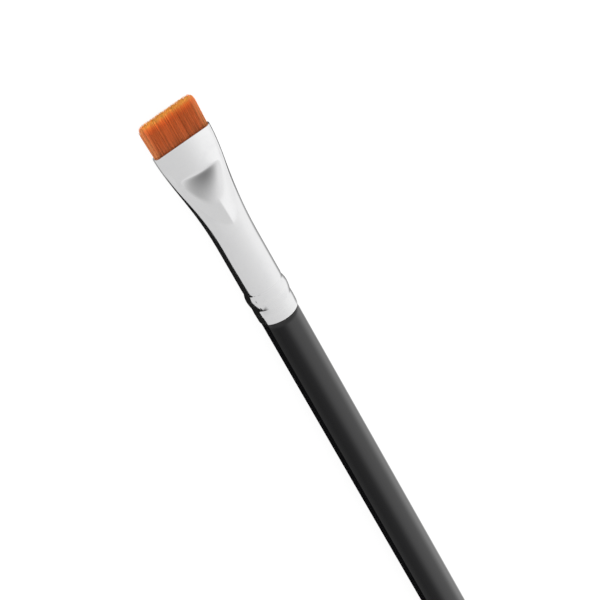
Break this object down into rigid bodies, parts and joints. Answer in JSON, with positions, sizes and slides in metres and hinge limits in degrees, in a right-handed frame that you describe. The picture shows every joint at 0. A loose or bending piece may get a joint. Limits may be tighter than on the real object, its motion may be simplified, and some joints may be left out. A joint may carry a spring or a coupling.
{
  "type": "flat eyebrow brush",
  "caption": "Slim cosmetic brush with a round handle, a metal ferrule pressed flat at the mouth, and a short straight-cut flat tuft.",
  "frame": {"origin": "middle of the length and width, on the surface that the brush lies on", "axes": "+X along the brush from the handle's butt to the bristle tips, +Z out of the pressed flat face, +Y across the flat"},
  "size_m": [0.16, 0.01, 0.007],
  "materials": {
    "lacquer": "black gloss lacquer over turned wood",
    "ferrule_metal": "polished, slightly satin",
    "filament": "copper-orange synthetic filament, lighter at the tips",
    "resin": "poured amber resin",
    "glue": "set glue"
  },
  "bodies": {
    "root": {"handle": "lacquer", "ferrule": "ferrule_metal", "bristle_tuft": "filament", "root_resin_plug": "resin", "tenon_glue_ring": "glue"}
  },
  "joints": []
}
